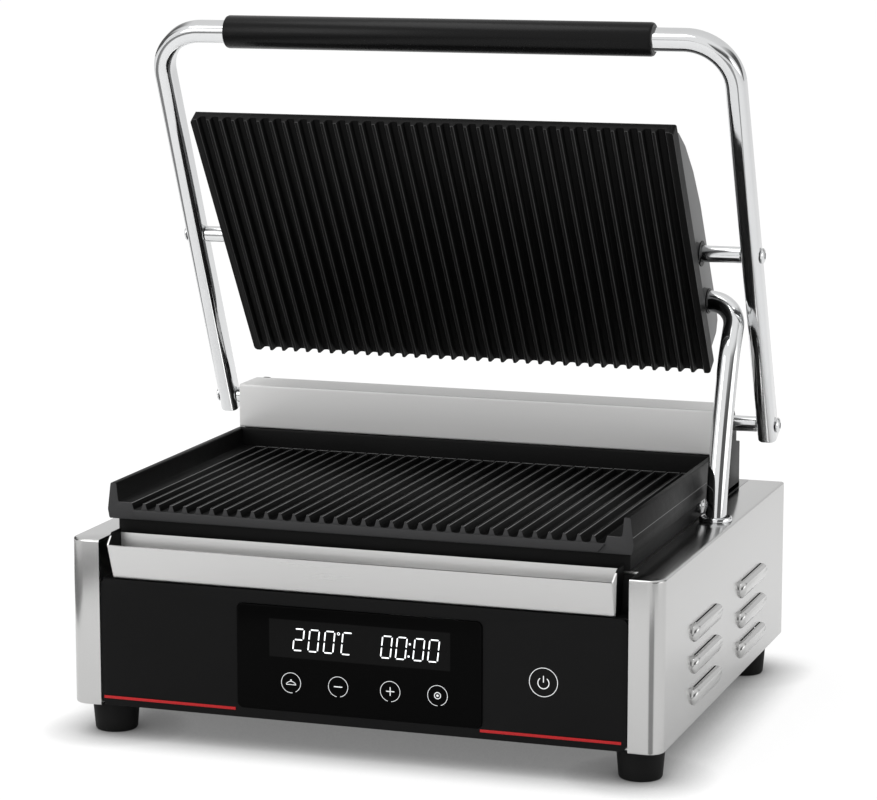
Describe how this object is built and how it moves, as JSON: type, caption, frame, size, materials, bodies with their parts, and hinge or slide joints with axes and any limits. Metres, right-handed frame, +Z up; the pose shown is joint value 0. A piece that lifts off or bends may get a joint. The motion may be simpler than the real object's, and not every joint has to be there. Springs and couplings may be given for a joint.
{
  "type": "contact grill",
  "caption": "Countertop contact grill: ribbed iron plates, a handled lid with a self-levelling upper plate, steel housing, grease tray and touch control panel.",
  "frame": {"origin": "on the floor plane under the middle of the footprint", "axes": "+X to the right of a person facing the controls, +Y to the back, +Z up; the lid rests fully open"},
  "size_m": [0.4508, 0.3768, 0.4999],
  "materials": {
    "brushed_steel": "brushed stainless steel, horizontal grain",
    "polished_steel": "mirror polished",
    "black_iron": "black enamelled, satin",
    "black_panel": "smooth satin black",
    "black_glass": "gloss black, smooth",
    "black_plastic": "matt black",
    "foot_rubber": "matt black",
    "grip_cover": "satin black",
    "red_trim": "red, satin",
    "circuit_board": "green circuit board",
    "display_screen": "dark display",
    "zinc": "zinc plated",
    "heater_sheath": "heat-tinted steel sheath",
    "mineral_board": "pressed mineral board",
    "brass": "plain",
    "ceramic": "white steatite",
    "spring_steel": "oiled spring steel"
  },
  "bodies": {
    "housing": {"accent_line_left": "red_trim", "accent_line_right": "red_trim", "bracket_screw_left": "zinc", "bracket_screw_right": "zinc", "conduit_ring": "polished_steel", "control_glass": "black_glass", "cord_gland": "black_plastic", "counter_spring_left": "spring_steel", "counter_spring_right": "spring_steel", "deck": "brushed_steel", "display_module": "display_screen", "floor_plate": "zinc", "foot_front_left": "foot_rubber", "foot_front_right": "foot_rubber", "foot_rear_left": "foot_rubber", "foot_rear_right": "foot_rubber", "front_panel": "black_panel", "hinge_bracket_left": "black_iron", "hinge_bracket_right": "black_iron", "hinge_bush_left": "black_plastic", "hinge_bush_right": "black_plastic", "lower_element": "heater_sheath", "lower_insulation": "mineral_board", "lower_plate": "black_iron", "lower_sensor": "brass", "plate_skirt": "black_iron", "power_pad": "circuit_board", "rear_cover": "brushed_steel", "rear_panel": "brushed_steel", "rear_screw_left": "zinc", "rear_screw_right": "zinc", "relay_board": "circuit_board", "side_bolt_left": "polished_steel", "side_bolt_right": "polished_steel", "side_panel_left": "brushed_steel", "side_panel_right": "brushed_steel", "terminal_block": "ceramic", "touch_board": "circuit_board", "tray_channel": "black_panel"},
    "lid": {"handle_frame": "polished_steel", "handle_grip": "grip_cover", "hinge_shaft": "polished_steel", "hinge_bolt_left": "polished_steel", "hinge_bolt_right": "polished_steel", "pivot_bolt_left": "polished_steel", "pivot_bolt_right": "polished_steel", "pivot_pin_left": "polished_steel", "pivot_pin_right": "polished_steel"},
    "upper_plate_body": {"upper_plate": "black_iron", "upper_back_sheet": "black_iron", "back_sheet_screw_1": "zinc", "back_sheet_screw_2": "zinc", "upper_element": "heater_sheath", "upper_thermostat": "ceramic", "pivot_clip_left": "black_plastic", "pivot_clip_right": "black_plastic", "conduit_clip": "black_plastic"},
    "conduit": {"conduit_tube": "polished_steel"},
    "tray": {"grease_tray": "brushed_steel"}
  },
  "joints": [
    {"name": "lid_hinge", "type": "hinge", "parent": "housing", "child": "lid", "pos_m": [0, 0.117, 0.1975], "axis": [1, 0, 0], "range_deg": [0, 66]},
    {"name": "plate_swivel", "type": "hinge", "parent": "lid", "child": "upper_plate_body", "pos_m": [0, 0.05762, 0.33088], "axis": [1, 0, 0], "range_deg": [-9.5, 0.5]},
    {"name": "conduit_pivot", "type": "hinge", "parent": "upper_plate_body", "child": "conduit", "pos_m": [0.19, 0.08074, 0.29343], "axis": [1, 0, 0], "range_deg": [-18, 0.5]},
    {"name": "tray_slide", "type": "slide", "parent": "housing", "child": "tray", "axis": [0, -1, 0], "range_m": [0, 0.06]}
  ],
  "couplings": [
    {"joint": "plate_swivel", "follows": "lid_hinge", "ratio": -0.13636},
    {"joint": "conduit_pivot", "follows": "lid_hinge", "ratio": -0.26364}
  ]
}
